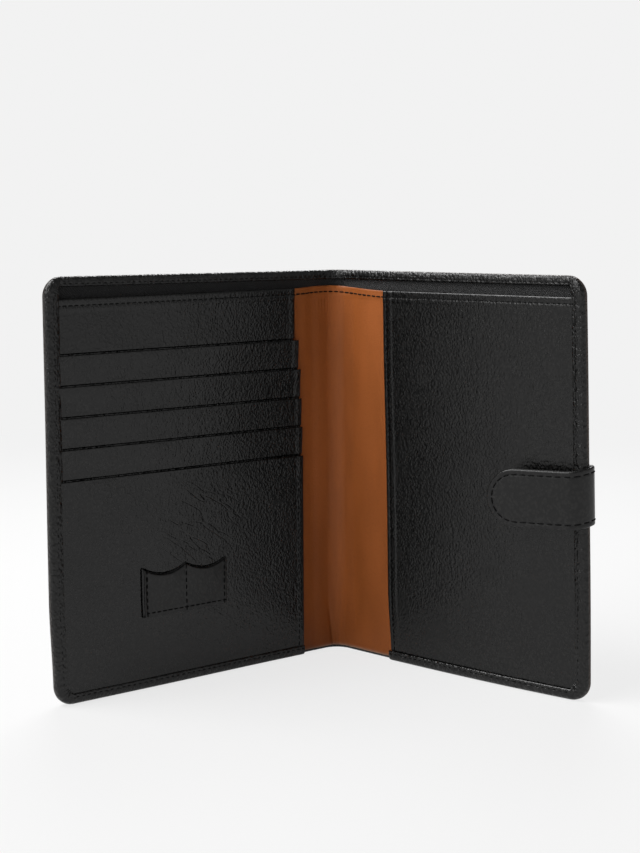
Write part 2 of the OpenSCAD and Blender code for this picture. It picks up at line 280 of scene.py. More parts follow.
def leather(name, colour, worn_and_shaded, roughness, grain, fine=900.0, creased=None):
    """Grained leather: soft pebbles, short wrinkles that mostly run upright, patchy tone, and painted cavity
    shade that darkens the hollows between the pebbles and the wrinkles. Fine is how many pebbles go to a
    metre, and creased is a place with slanted creases round it. Where the stored share is above 0 the colour
    turns to the second colour given, a scuffed brown on the cover's cut rims and, on the black panels, a
    darker black along their inner edges that is painted shade; below 0 it is burnished smooth."""
    material, tree, shader = blank(name)
    lay = stored(tree, "lay")
    wear_and_shade = stored(tree, "wear_and_shade", "Fac")
    rubbed_and_shaded = math_node(tree, "MAXIMUM", wear_and_shade, 0.0)
    burnished = burnish(tree, wear_and_shade)
    drift = 0.0024
    warp = {0: noise(tree, lay, 260.0, 2.0, "Color"), 1: (drift, drift, drift), 2: lay}
    warped = node(tree, "ShaderNodeVectorMath", warp, operation="MULTIPLY_ADD").outputs[0]
    cells = {"Vector": drawn_out(tree, warped, (1.15, 0.9, 1.0)), "Scale": fine, "Smoothness": 0.5}
    pebbles = node(tree, "ShaderNodeTexVoronoi", cells, feature="SMOOTH_F1").outputs["Distance"]
    folds = noise(tree, drawn_out(tree, warped, (1.4, 0.6, 1.0)), 480.0, 2.0)
    patch = noise(tree, lay, 70.0, 3.0)
    broad = noise(tree, lay, 22.0, 2.0)
    lines = math_node(tree, "MULTIPLY", ridges(tree, folds, 0.06), span(tree, patch, 0.35, 0.65, 0.7, 1.0))
    raised = math_node(tree, "MULTIPLY_ADD", pebbles, -0.8, math_node(tree, "MULTIPLY", lines, -0.15))
    if creased:
        away = node(tree, "ShaderNodeVectorMath", {0: lay, 1: creased}, operation="DISTANCE").outputs["Value"]
        slant = {"Vector": lay, "Rotation": (0, 0, math.radians(-33)), "Scale": (3.2, 0.8, 1.0)}
        slant = node(tree, "ShaderNodeMapping", slant, vector_type="TEXTURE").outputs[0]
        web = ridges(tree, noise(tree, slant, 170.0, 2.0), 0.035)
        web = math_node(tree, "MULTIPLY", web, span(tree, away, 0.008, 0.022, 0.6, 0.0))
        raised = math_node(tree, "SUBTRACT", raised, web)
        lines = math_node(tree, "MAXIMUM", lines, web)
    tone = mix_colour(tree, span(tree, broad, 0.3, 0.7), shade(colour, 0.75), shade(colour, 1.25))
    # The hollows between the pebbles and the wrinkle lines are darkened in the colour: painted cavity shade.
    pores = math_node(tree, "MULTIPLY", lines, 0.5)
    pores = math_node(tree, "MAXIMUM", span(tree, pebbles, 0.25, 0.6), pores)
    tone = mix_colour(tree, pores, tone, shade(colour, 0.1))
    # Above 0 the stored share turns the colour to the second colour: a scuffed brown on the cover, and
    # painted edge shade on the black panels.
    rubbed_and_shaded_share = math_node(tree, "MULTIPLY", rubbed_and_shaded, span(tree, patch, 0.3, 0.6, 0.45, 1.0))
    gloss = span(tree, patch, 0.25, 0.75, roughness - 0.02, roughness + 0.02)
    gloss = math_node(tree, "MULTIPLY_ADD", lines, 0.06, gloss)
    gloss = math_node(tree, "MULTIPLY_ADD", burnished, -0.08, gloss)
    gloss = math_node(tree, "MULTIPLY_ADD", rubbed_and_shaded, 0.35, gloss)
    strength = math_node(tree, "MULTIPLY_ADD", burnished, -0.8, 1.0)
    dress(tree, shader, mix_colour(tree, rubbed_and_shaded_share, tone, worn_and_shaded), gloss, raised, strength, grain * 0.0002)
    shader.inputs["Specular IOR Level"].default_value = 0.36
    return material


def finish(piece, material, slot, *nodes):
    """Gives a piece its material and hides the solids that it stands for. The slot is not used."""
    piece.data.materials.append(material)
    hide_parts(*nodes)


def bend_front(piece):
    """Bakes the placement of a piece that lies over the front fold, between the front half and the spine,
    into its mesh. The piece is not attached to either body.
    """
    reach = 5.0
    ends = (place(front_s(reach), 0, fold_d), place(front_s(-reach), 0, fold_d))
    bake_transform(piece)


def bend_back(piece):
    """Bakes the placement of a piece that lies over the back fold, between the spine and the back half, into
    its mesh. The piece is not attached to either body.
    """
    reach = 6.4
    place(-reach, 0, fold_d)
    place(reach, 0, fold_d)
    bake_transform(piece)


cover_t = 0.75
corner_r = 6.5
rim_r = 1.5
base_lip = 3.7
side_lip = 4.9
top_lip = 3.3
hem_t = 0.6
base_seam = 2.7
top_seam = 2.4
top_crown = 2.2
tuck_crown = 1.5
tuck_lip = 3.0
pressed = 0.25
pleats = 11
pleat_h = 0.16
dent_w = 0.35
outer_dent = 0.14
mark_step = 0.7
stitch_pitch = 2.1


def hem_course(u, z, panel_start, crown, side_crown, side_seam):
    """Lip width, seam inset, crown and pressed-down share of the turned hem at a point of the edge."""
    sewn = smooth(u, panel_start - 1.2, panel_start + 0.2)
    to_side = smooth(u, half_w - corner_r, half_w - 1.5)
    on_top = smooth(z, height / 2, height) * smooth(u, half_w - 0.2, half_w - corner_r)
    on_top = np.where(z > height - 0.01, np.maximum(on_top, smooth(u, half_w - 2, half_w - 9)), on_top)
    lip = tuck_lip + (base_lip - tuck_lip) * sewn
    lip = lip + (side_lip - lip) * to_side
    lip = lip + (top_lip - lip) * on_top
    seam = base_seam + (side_seam - base_seam) * to_side
    seam = seam + (top_seam - seam) * on_top
    top = tuck_crown + (crown - tuck_crown) * sewn
    top = top + (side_crown - top) * to_side
    top = top + (top_crown - top) * on_top
    return lip, seam, top, to_side * (1 - on_top)


def cover_half(name, to_s, crown, side_crown, side_seam, panel_start, raw):
    """Cover of one half, from mid-spine round to the turned hem. The hem's profile is swept along the base,
    the fore-edge and the top, and a grid fills the face between."""
    across = marks(-spine_w / 2, half_w - corner_r, mark_step)
    up = marks(corner_r, height - corner_r, mark_step)
    swing = np.linspace(0, math.pi / 2, 49)[1:-1]
    centre_u = half_w - corner_r
    low_z, high_z = corner_r, height - corner_r
    foot = np.concatenate([
        np.stack([across, 0 * across], -1),
        np.stack([centre_u + corner_r * np.sin(swing), low_z - corner_r * np.cos(swing)], -1),
        np.stack([0 * up + half_w, up], -1),
        np.stack([centre_u + corner_r * np.cos(swing), high_z + corner_r * np.sin(swing)], -1),
        np.stack([across[::-1], 0 * across + height], -1)])
    into = np.concatenate([
        np.stack([0 * across, 1 + 0 * across], -1),
        np.stack([-np.sin(swing), np.cos(swing)], -1),
        np.stack([-1 + 0 * up, 0 * up], -1),
        np.stack([-np.cos(swing), -np.sin(swing)], -1),
        np.stack([0 * across, -1 + 0 * across], -1)])
    run = np.concatenate([[0], np.cumsum(np.linalg.norm(np.diff(foot, axis=0), axis=1))])
    lip, seam, top, flat = hem_course(foot[:, 0], foot[:, 1], panel_start, crown, side_crown, side_seam)
    turn_w = corner_r * math.pi / 2
    first_turn = across[-1] - across[0]
    top_turn = first_turn + turn_w + up[-1] - up[0]
    pucker = 0.7 + 0.3 * np.cos(2 * math.pi * run / stitch_pitch)
    gather = sum(np.where((run > begin) & (run < begin + turn_w),
                          np.sin((run - begin) / turn_w * math.pi) ** 2
                          * np.cos((run - begin) / turn_w * math.pi * pleats), 0)
                 for begin in (first_turn, top_turn))
    crease = 0.07 * np.sin(run * 1.9 + 2 * np.sin(run / 5.3)) * np.sin(run / 3.1)
    still = 0 * run
    profile = []
    for inset in (corner_r, 5.4, 4.6, 4.2, 3.8, 3.4, 3.1, 2.8, 2.4, 1.9):
        profile.append((inset + still, outer_dent * bell(inset - side_seam, dent_w) * pucker))
    for angle in np.radians(np.linspace(-75, 75, 11)):
        profile.append((rim_r * (1 - math.cos(angle)) + still, top / 2 * (1 + math.sin(angle))))
    for share in (0.08, 0.2, 0.32, 0.42, 0.5, 0.56, 0.62, 0.68, 0.74, 0.8, 0.86):
        inset = rim_r + (lip - rim_r) * share
        puff = 0.14 * math.sin(math.pi * share) - pressed * flat * smooth(share, 0.25, 1)
        dip = (0.2 - 0.1 * flat) * bell(inset - seam, dent_w) * pucker
        profile.append((inset, top + puff - dip + share * (pleat_h * gather + crease)))
    end = top - pressed * flat
    under = end - hem_t
    profile += [(lip - 0.16, end - 0.05 + pleat_h * gather), (lip - 0.02, end - 0.14 + pleat_h * gather),
                (lip + 0.06, end - 0.28 + 0.1 * gather), (lip, end - 0.45), (lip - 0.4, under),
                ((lip + rim_r) / 2, under), (rim_r + 0.3, under), (0.75 + still, top / 2),
                (rim_r + 0.3, cover_t + still), (corner_r + still, cover_t + still)]

    def lay(u, z, depth):
        return np.stack(np.broadcast_arrays(to_s(u), z, depth), -1)

    swept = np.stack([lay(foot[:, 0] + into[:, 0] * e, foot[:, 1] + into[:, 1] * e, d) for e, d in profile])
    grid_u, grid_z = np.meshgrid(across, up, indexing="ij")
    outside = lay(grid_u, grid_z, profile[0][1][0])
    inside = lay(grid_u, grid_z, cover_t)
    rim = np.stack([raw * bell(e, 0.16) * (d < top * 0.75)
                    - 0.8 * (1 - flat) * bell(e - lip, 0.25) * (d > top / 2) for e, d in profile])
    wear_and_shade = [rim, 0 * grid_u, 0 * grid_u]
    return weld(name, [swept, outside, inside], wear_and_shade=wear_and_shade)


black = (0.0062, 0.006, 0.0056)
rubbed_brown = (0.06, 0.04, 0.03)
cover_leather = leather("cover_leather", black, rubbed_brown, 0.3, 1.7)
front_crown = 4.05
back_crown = 3.85
front_side_crown = 3.8
back_side_crown = 3.3
front_seam = 2.8
back_seam = 3.6
front_hem_start = 4.4
front_raw = 0.2
back_raw = 0.8


def back_s(u):
    """Run of a point on the back half, from its distance to the back fold line."""
    return u


front_cover = cover_half("cover_front", front_s, front_crown, front_side_crown, front_seam, front_hem_start,
                         front_raw)
finish(front_cover, cover_leather, "cover_leather", "front_cover", "front_turned_edge", "spine_cover")
bend_front(front_cover)
back_cover = cover_half("cover_back", back_s, back_crown, back_side_crown, back_seam, passport_start,
                        back_raw)
finish(back_cover, cover_leather, "cover_leather", "back_cover", "back_turned_edge", "spine_turned_edge")
bend_back(back_cover)

# Stiffening boards and the keeper
# A thin bonded-leather board lies inside each half of the cover, and a plated steel disc in the front one
# holds the tab's magnet. All are glued in and hidden by the lining.

sheet_inset = 3.0
board_start = 3.0
board_face = 1.0
board_back = 0.8
keeper_face = 1.28
keeper_back = 1.02


def edged(start, stop, step, radius, rounded=(True, True)):
    """Marks from start to stop, closer together where an end is rounded."""
    ends = radius * (1 - np.cos(np.linspace(0, math.pi / 2, 5)))
    low = start + ends if rounded[0] else np.array([start])
    high = stop - ends[::-1] if rounded[1] else np.array([stop])
    return np.concatenate([low[:-1], marks(low[-1], high[0], step), high[1:]])


def refined(given, spans):
    """Marks with closer ones over some spans, each a start, a stop and a step."""
    for start, stop, step in spans:
        outside = given[(given < start - step / 2) | (given > stop + step / 2)]
        given = np.sort(np.concatenate([outside, marks(start, stop, step)]))
    return given


def rounding(inset, radius):
    """Share of its thickness that a sheet with round edges has, at an inset from its edge."""
    return np.sqrt(1 - (1 - np.clip(inset / radius, 0, 1)) ** 2)


def slab(name, s, z, face, back, step=4.0, radius=0.25, rounded=(True, True, True, True),
         top=None, side=None, fine=((), ()), worn_and_shaded=(0, 0, 0, 0), to_world=place):
    """Sheet with rounded edges from one run and height to another. Face and back are depths, or functions
    of run and height. Top is an upper edge that varies along the run, side a first edge that varies up.
    Fine lists spans of closer marks, and the last argument is the share of scuffing, burnish and painted edge
    shade at the four sides."""
    s_marks = refined(edged(*s, step, radius, rounded[:2]), fine[0])
    z_marks = refined(edged(*z, step, radius, rounded[2:]), fine[1])
    grid_s, grid_z = np.meshgrid(s_marks, z_marks, indexing="ij")
    edge = z[1] + 0 * grid_s if top is None else top(grid_s)
    grid_z = z[0] + (grid_z - z[0]) * (edge - z[0]) / (z[1] - z[0])
    first = s[0] + 0 * grid_s if side is None else side(grid_z)
    grid_s = first + (grid_s - s[0]) * (s[1] - first) / (s[1] - s[0])
    far = 9.0
    sides = (grid_s - first, s[1] - grid_s, grid_z - z[0], edge - grid_z)
    inset = np.min([side if kept else 0 * side + far for side, kept in zip(sides, rounded)], axis=0)
    swell = rounding(inset, radius)
    face, back = (d(grid_s, grid_z) if callable(d) else d + 0 * grid_s for d in (face, back))
    middle, half = (face + back) / 2, (face - back) / 2 * swell
    lays = [np.stack([grid_s, grid_z, middle + half], -1), np.stack([grid_s, grid_z, middle - half], -1)]
    reach = max(0.35, 0.7 * radius)
    wear_and_shade = sum(weight * bell(side, reach) for weight, side in zip(worn_and_shaded, sides)) + 0 * grid_s
    return weld(name, lays, to_world, wear_and_shade=[wear_and_shade, wear_and_shade])


def fibre_board(name, colour):
    """Pressed leather fibre: mottled brown with short flecks."""
    material, tree, shader = blank(name)
    flecks = noise(tree, stored(tree, "lay"), 900.0, 4.0)
    tone = mix_colour(tree, span(tree, flecks, 0.35, 0.65), shade(colour, 0.7), colour)
    dress(tree, shader, tone, span(tree, flecks, 0.3, 0.7, 0.75, 0.9), flecks, 0.3, 0.0001)
    return material


board_brown = fibre_board("bonded_board", (0.26, 0.21, 0.16))
board_z = (sheet_inset, height - sheet_inset)
for word, board_s in (("front", (front_s(half_w - sheet_inset), front_s(board_start))),
                      ("back", (board_start, half_w - sheet_inset))):
    piece = slab(f"board_{word}", board_s, board_z, board_face, board_back)
    finish(piece, board_brown, "stiffener", f"{word}_board")
    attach(piece, f"{word}_half")


def plated_steel(name, colour):
    """Rolled and plated steel: fine streaks in the gloss."""
    material, tree, shader = blank(name)
    streaks = noise(tree, drawn_out(tree, stored(tree, "lay"), (80.0, 4000.0, 80.0)), 1.0, 3.0)
    tone = mix_colour(tree, streaks, shade(colour, 0.8), colour)
    dress(tree, shader, tone, span(tree, streaks, 0.3, 0.7, 0.25, 0.42))
    shader.inputs["Metallic"].default_value = 1.0
    return material


def disc(name, centre, radius, face, back, to_world=place):
    """Flat round disc with eased rims, from two depths."""
    ring = np.linspace(0, 2 * math.pi, 49)
    rim = 0.1
    shape = [(0.01, face), (radius * 0.5, face), (radius - rim, face), (radius, face - rim),
             (radius, back + rim), (radius - rim, back), (radius * 0.5, back), (0.01, back)]
    lay = np.stack([np.stack([centre[0] + r * np.cos(ring), centre[1] + r * np.sin(ring), d + 0 * ring], -1)
                    for r, d in shape])
    return weld(name, [lay], to_world)


steel = plated_steel("plated_steel", (0.55, 0.55, 0.56))
low, high = box_mm("magnet_keeper")
keeper_u = ((low + high) / 2)[:2] - front_fold
keeper_at = (front_s(keeper_u @ front_way), (low[2] + high[2]) / 2)
magnet_r = (high[2] - low[2]) / 2
keeper = disc("keeper_disc", keeper_at, magnet_r, keeper_face, keeper_back)
finish(keeper, steel, "steel", "magnet_keeper")
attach(keeper, "front_half")

# Lining
# Thin black twill is glued over the boards and the spine. It shows as a dark band above the inner panels,
# inside the long pocket.

cloth_t = 0.15
lining_back = 1.3
lining_face = lining_back + cloth_t
lining_top = height - 2.0


def bands(tree, at, scale, distortion, direction):
    """Output of a pattern of even bands."""
    inputs = {"Vector": at, "Scale": scale, "Distortion": distortion}
    return node(tree, "ShaderNodeTexWave", inputs, bands_direction=direction).outputs["Fac"]


def twill(name, colour):
    """Fine diagonal twill: ribs about half a millimetre apart, crossed by the weft."""
    material, tree, shader = blank(name)
    lay = stored(tree, "lay")
    ribs = bands(tree, lay, 700.0, 0.6, "DIAGONAL")
    weft = bands(tree, lay, 1300.0, 0.8, "Y")
    weave = math_node(tree, "MULTIPLY_ADD", weft, 0.5, ribs)
    tone = mix_colour(tree, span(tree, weave, 0.2, 1.3), shade(colour, 0.4), colour)
    dress(tree, shader, tone, span(tree, weave, 0.2, 1.3, 0.8, 0.6), weave, 0.9, 0.00025)
    shader.inputs["Sheen Weight"].default_value = 0.04
    return material


lining_cloth = twill("lining_twill", (0.006, 0.006, 0.0065))
mid_spine = -spine_w / 2
front_lining = slab("lining_front", (front_s(half_w - sheet_inset), mid_spine), (sheet_inset, lining_top),
                    lining_face, lining_back, step=1.5, radius=0.07, rounded=(True, False, True, True))
finish(front_lining, lining_cloth, "lining_cloth", "front_lining", "spine_lining")
bend_front(front_lining)
back_lining = slab("lining_back", (mid_spine, half_w - sheet_inset), (sheet_inset, lining_top),
                   lining_face, lining_back, step=1.5, radius=0.07, rounded=(False, True, True, True))
finish(back_lining, lining_cloth, "lining_cloth", "back_lining")
bend_back(back_lining)

# Tan spine strip
# A strip of smooth tan leather covers the inside of the fold. Its top edge is turned and sewn, its sides
# are tucked under the inner panels, and it is creased where the wallet folds.

strip_face = 2.25
strip_t = 0.5
strip_tuck = 5.0
strip_base, strip_top = (corner[2] for corner in box_mm("spine_strip"))


def passport_edge(z):
    """Run of the passport panel's inner edge, which leans over the strip towards its top."""
    return passport_start - 0.8 - 1.6 * smooth(z, 20, height) + 1.3 * smooth(z, 26, 0)


def strip_surface(s, z):
    """Depth of the tan strip's face, with its turned top, its fold creases and its soft hollows."""
    turned = 0.2 * smooth(z, strip_top - 4.6, strip_top - 3.8)
    inside = smooth(s, front_s(card_start) + 0.3, front_s(card_start) + 2.5)
    inside = inside * (1 - smooth(s, passport_edge(z) - 2.5, passport_edge(z) - 0.3))
    hollow = 0.3 * bell(s + 12.5, 2.2) + 0.25 * bell(s - 9.5, 2.6)
    pinch = 0.045 * np.cos(s * 4.4 + 0.6 * np.sin(z / 3)) * bell(s + 6.5, 3.2)
    pinch = pinch * bell(strip_top - 6.5 - z, 3)
    low = np.clip((30 - z) / 30, 0, 1)
    lines = (-9 + 7.5 * low, -6.5 + 4 * low, 3 - 2.5 * low)
    converge = sum(bell(s - line, 1.1) for line in lines)
    wave = 0.06 * np.sin(z / 14 + s / 6) * np.sin(s / 4.2)
    dent = 0.12 * bell(strip_top - 2.2 - z, 0.5)
    return strip_face + inside * (turned - hollow + pinch - 0.3 * low * converge + wave) - dent


def tan_leather(name, colour, raw):
    """Smooth tan leather: fine pores, cloudy colour, pale raw edges."""
    material, tree, shader = blank(name)
    lay = stored(tree, "lay")
    wear_and_shade = stored(tree, "wear_and_shade", "Fac")
    cloud = noise(tree, drawn_out(tree, lay, (1.0, 0.35, 1.0)), 110.0, 4.0)
    pores = node(tree, "ShaderNodeTexVoronoi", {"Vector": lay, "Scale": 1500.0}).outputs["Distance"]
    grain = noise(tree, lay, 900.0, 3.0)
    tone = mix_colour(tree, span(tree, cloud, 0.3, 0.7), shade(colour, 0.84), colour)
    tone = mix_colour(tree, span(tree, grain, 0.5, 0.75, 0.0, 0.22), tone, shade(colour, 0.6))
    gloss = span(tree, cloud, 0.3, 0.7, 0.48, 0.58)
    gloss = math_node(tree, "MULTIPLY_ADD", burnish(tree, wear_and_shade), -0.2, gloss)
    raised = math_node(tree, "MULTIPLY_ADD", pores, -0.5, grain)
    dress(tree, shader, mix_colour(tree, wear_and_shade, tone, raw), gloss, raised, 0.4, 0.0001)
    shader.inputs["Specular IOR Level"].default_value = 0.22
    return material


def strip_edge(s):
    """Top line of the tan strip, which drops where it slips under the panels."""
    tucked = smooth(s, front_s(card_start) + 0.2, front_s(card_start) - 0.7)
    tucked = tucked + smooth(s, passport_edge(height) - 0.2, passport_edge(height) + 0.7)
    sag = 1.4 * smooth(s, -4, passport_start) + 0.6 * smooth(-s - spine_w, -5, card_start)
    return strip_top - sag - 3.0 * tucked


tan = tan_leather("tan_leather", (0.3, 0.084, 0.017), (0.42, 0.34, 0.26))
strip_z = (strip_base + 0.6, strip_top)


def strip_back_face(s, z):
    """Depth of the tan strip's hidden side."""
    return np.minimum(strip_surface(s, z) - 0.3, strip_face - strip_t)


front_strip = slab("spine_strip_left", (front_s(card_start + strip_tuck), mid_spine), strip_z, strip_surface,
                   strip_back_face, step=0.7, radius=0.9, rounded=(True, False, True, True), top=strip_edge,
                   worn_and_shaded=(0, 0, 0.5, -1), fine=([(front_s(-1), mid_spine - 0.3, 0.2)], ()))
finish(front_strip, tan, "tan_leather", "spine_strip_front", "spine_strip")
bend_front(front_strip)
back_strip = slab("spine_strip_right", (mid_spine, passport_start + strip_tuck), strip_z, strip_surface,
                  strip_back_face, step=0.7, radius=0.9, rounded=(False, True, True, True), top=strip_edge,
                  worn_and_shaded=(0, 0, 0.5, -1), fine=([(mid_spine + 0.3, 1.0, 0.2)], ()))
finish(back_strip, tan, "tan_leather", "spine_strip_back")
bend_back(back_strip)

# Card panel
# Black leather panel over the front half, backed with twill as a slip pocket. Its top edge is turned and
# sewn, and its other edges lie under the hem and the card pockets.

panel_top = box_mm("card_panel")[1][2]
panel_face = 3.0
panel_back = 2.4
panel_seam = 2.2
slip_face = 1.95
slip_back = slip_face - cloth_t
turned_marks = (panel_top - 4.6, panel_top - 0.7, 0.25)
# A darker black that the panels and pockets take along their inner edges beside the strip: painted shade.
edge_shade_black = (0.001, 0.001, 0.001)
fine_pebbles = 1100.0
crease_place = (-0.061, 0.054, 0.003)
black_leather = leather("black_leather", black, edge_shade_black, 0.23, 0.64, fine_pebbles, crease_place)


def panel_surface(s, z):
    """Depth of a panel's face: its turned top edge, the seam under it and the leather's own undulation."""
    turned = 0.16 * smooth(z, panel_top - 4.4, panel_top - 3.6)
    dent = 0.14 * bell(panel_top - panel_seam - z, 0.45)
    swell = 0.05 * np.sin(s / 5.3 + 2 * np.sin(z / 9)) * np.sin(z / 6.1)
    return panel_face + turned - dent + swell


pocket_names = [f"card_pocket_{i}" for i in range(1, 6)]
slits = [box_mm(name)[1][2] for name in pocket_names]
slit_spans = [(slit - 0.3, slit + 1.0, 0.13) for slit in slits]
groove_d = 0.55


def groove(z):
    """Depth of the hollow behind each pocket's lip, where the leather gives way to a card."""
    return sum(groove_d * smooth(z, slit + 0.75, slit + 0.4) * smooth(z, slit - 3, slit) for slit in slits)


def crept(s, z):
    """Rise of the card panel and its pockets, whose tops have crept up towards the fold."""
    return (0.8 - 1.25 * shares(s)[0]) * smooth(z, 80, panel_top)


def card_place(s, z, depth):
    """Points in metres of the card panel and of what is sewn on it."""
    return place(s, z + crept(s, z), depth)


def turned_side(s, start):
    """Extra depth of the leather turned in along an inner edge of the front half."""
    return 0.14 * smooth(-s - spine_w - start, 2.5, 1.9)


def card_surface(s, z):
    """Depth of the card panel's face, hollowed behind the lips."""
    return panel_surface(s, z) - groove(z) + turned_side(s, card_start)


def card_back(s, z):
    """Depth of the card panel's hidden side."""
    return panel_back - 0.6 * groove(z)


card_outer = front_s(half_w - sheet_inset)
card_slip = slab("card_panel_twill", (card_outer, front_s(card_start + strip_tuck + 1)),
                 (sheet_inset, panel_top - 1), slip_face, slip_back, radius=0.07)
finish(card_slip, lining_cloth, "lining_cloth", "card_panel_lining")
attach(card_slip, "front_half")
# Its inner edge is painted darker, a painted shade line beside the strip, and its top edge is burnished.
card_panel = slab("card_panel_leather", (card_outer, front_s(card_start)), (sheet_inset, panel_top),
                  card_surface, card_back, step=0.9, radius=0.6, worn_and_shaded=(0, 0.8, 0, -1),
                  fine=((), slit_spans + [turned_marks]), to_world=card_place)
finish(card_panel, black_leather, "black_leather", "card_panel")
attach(card_panel, "front_half")

# Card pockets
# Five stepped pockets of thinner black leather. Each lip lies on the layer above, the fifth runs down to
# the hem, and their twill tails are sewn in behind as one sheet.

pocket_t = 0.45
pocket_seat = 0.12
lip_rise = 0.5
hem_under = 1.2


def pocket_start(i):
    """Distance of a pocket's inner edge from the fold. Each reaches a little nearer than the one above."""
    return card_start - 3 * (1 - math.exp(-i / 1.8))


chip_z, chip_top = (corner[2] for corner in box_mm("chip_pocket_patch"))
chip_runs = front_runs("chip_pocket_patch")
chip_start = chip_runs.min()
chip_w = chip_runs.max() - chip_start
chip_scoop = 2.6


def chip_edge(share):
    """Height of the small pockets' scooped tops, at a share of the patch's width from the fold."""
    return chip_top - chip_scoop * np.abs(np.sin(2 * math.pi * share)) ** 0.8


def chip_hollow(s, z):
    """Depth of the hollow that the small patch leaves in the lowest pocket, along its tops and outer side."""
    share = (front_s(chip_start) - s) / chip_w
    within = smooth(share, -0.01, 0.02) * smooth(share, 1.02, 0.99)
    tops = within * bell(z - chip_edge(np.clip(share, 0, 1)) - 0.2, 0.32)
    beside = smooth(z, chip_z, chip_z + 1) * smooth(z, chip_top + 1, chip_top)
    outer = beside * bell((share - 1) * chip_w - 0.35, 0.5)
    return 0.48 * np.maximum(tops, outer)


def pocket_surface(top, low, start):
    """Depth of a pocket's face: proud at its lip, and down on the panel where the next lip covers it."""
    def depth(s, z):
        fall = smooth(top - z, 0.4, max(top - low - 1, 6))
        sag = 0.1 * np.sin(s / 7.7 + top) * np.exp(-(top - z) / 3)
        swell = 0.05 * np.sin(s / 6.1 + 2 * np.sin(z / 8 + top)) * np.sin(z / 5.3 + s / 15)
        below = groove(z) * smooth(top - z, 4, 5) + (chip_hollow(s, z) if low < base_lip else 0)
        rise = lip_rise - (lip_rise - 0.05) * fall * (low > base_lip) + turned_side(s, start)
        return panel_face + pocket_seat + rise + sag + swell - below
    return depth


for i, (name, top) in enumerate(zip(pocket_names, slits)):
    low = slits[i + 1] - 3 if i < 4 else base_lip - hem_under
    surface = pocket_surface(top, slits[i + 1] if i < 4 else 0, pocket_start(i + 1))

    def behind(s, z, surface=surface, top=top):
        resting = panel_face + 0.02 - groove(z) * smooth(top - z, 4, 5)
        return np.minimum(np.maximum(surface(s, z) - pocket_t, resting), surface(s, z) - 0.08)

    fine_s = []
    fine_z = [closer for closer in slit_spans if low + 1 < closer[0] and closer[1] < top - 1]
    if i == 4:
        fine_s = [(front_s(chip_start + chip_w + 1.6), front_s(chip_start - 0.6), 0.28)]
        fine_z = [(chip_top - chip_scoop - 0.6, chip_top + 1.2, 0.16)]
    pocket_s = (front_s(half_w - side_lip + hem_under), front_s(pocket_start(i + 1)))
    # Each pocket's inner edge is painted darker, a painted shade line beside the strip, and its lip is
    # burnished.
    piece = slab(f"pocket_{i + 1}_leather", pocket_s, (low, top), surface, behind, step=0.6, radius=0.2,
                 fine=(fine_s, fine_z), worn_and_shaded=(0, 0.8, 0, -0.8), to_world=card_place)
    finish(piece, black_leather, "black_leather", name)
    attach(piece, "front_half")


def tail_face(s, z):
    """Depth of the pocket tails, which lie on the card panel."""
    return panel_face + 0.01 - groove(z)


def tail_back(s, z):
    """Depth of the tails' hidden side."""
    return tail_face(s, z) - 0.1


tails = slab("card_pocket_twill", (front_s(half_w - side_lip), front_s(card_start + 1)),
             (base_lip, slits[0] - 4), tail_face, tail_back, step=1.5, radius=0.05,
             fine=((), slit_spans[1:]), to_world=card_place)
finish(tails, lining_cloth, "lining_cloth", "card_pocket_lining")
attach(tails, "front_half")

# Chip card pockets
# A small leather patch on the lowest pocket, sewn at its sides, its base and its middle, so that it forms
# two small pockets with scooped tops.

chip_t = 0.55
chip_round = 0.3
pocket_face = panel_face + pocket_seat + lip_rise


def chip_back(s, z):
    """Depth of the patch's hidden side: sewn down at its seams, slack at its tops and curled at its side."""
    share = np.clip((front_s(chip_start) - s) / chip_w, 0, 1)
    up = (z - chip_z) / (chip_edge(share) - chip_z)
    gape = 0.4 * np.abs(np.sin(2 * math.pi * share)) * smooth(up, 0.3, 1)
    return pocket_face - 0.05 + np.maximum(gape, 0.35 * smooth(share, 0.965, 1))


columns = edged(0, 1, 0.012, 0.012)
rows = edged(0, 1, 0.04, 0.02)
grid_c, grid_r = np.meshgrid(columns, rows, indexing="ij")
patch_s = front_s(chip_start + grid_c * chip_w)
patch_z = chip_z + grid_r * (chip_edge(grid_c) - chip_z)
patch_inset = np.min([grid_c * chip_w, (1 - grid_c) * chip_w, patch_z - chip_z, chip_edge(grid_c) - patch_z],
                     axis=0)
patch_swell = rounding(patch_inset, chip_round)
patch_back = chip_back(patch_s, patch_z)
patch_face = patch_back + chip_t * patch_swell
smooth_leather = leather("smooth_leather", black, edge_shade_black, 0.36, 0.4)
chip_patch = weld("chip_pocket_leather", [np.stack([patch_s, patch_z, patch_face], -1),
                                          np.stack([patch_s, patch_z, patch_back], -1)], card_place,
                  wear_and_shade=[-bell(patch_inset, chip_round)] * 2)
finish(chip_patch, smooth_leather, "black_leather", "chip_pocket_patch")
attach(chip_patch, "front_half")

# Passport panel
# Black leather panel over the back half with a twill back, open at its top and along its inner edge, where
# the passport's cover slips in. Its turned top and inner edges are sewn.

passport_slip = slab("passport_panel_twill", (passport_start + strip_tuck + 1, half_w - sheet_inset),
                     (sheet_inset, panel_top - 0.5), slip_face, slip_back, radius=0.07)
finish(passport_slip, lining_cloth, "lining_cloth", "passport_panel_lining")
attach(passport_slip, "back_half")

inner_seam = 1.6
panel_leather = leather("panel_leather", black, edge_shade_black, 0.27, 0.64, fine_pebbles)


def passport_surface(s, z):
    """Depth of the passport panel's face, with its sewn inner edge."""
    inner = s - passport_edge(z)
    turned = 0.14 * smooth(inner, 4.2, 3.4)
    dent = 0.12 * bell(inner - inner_seam, 0.4)
    return panel_surface(s, z) + turned - dent


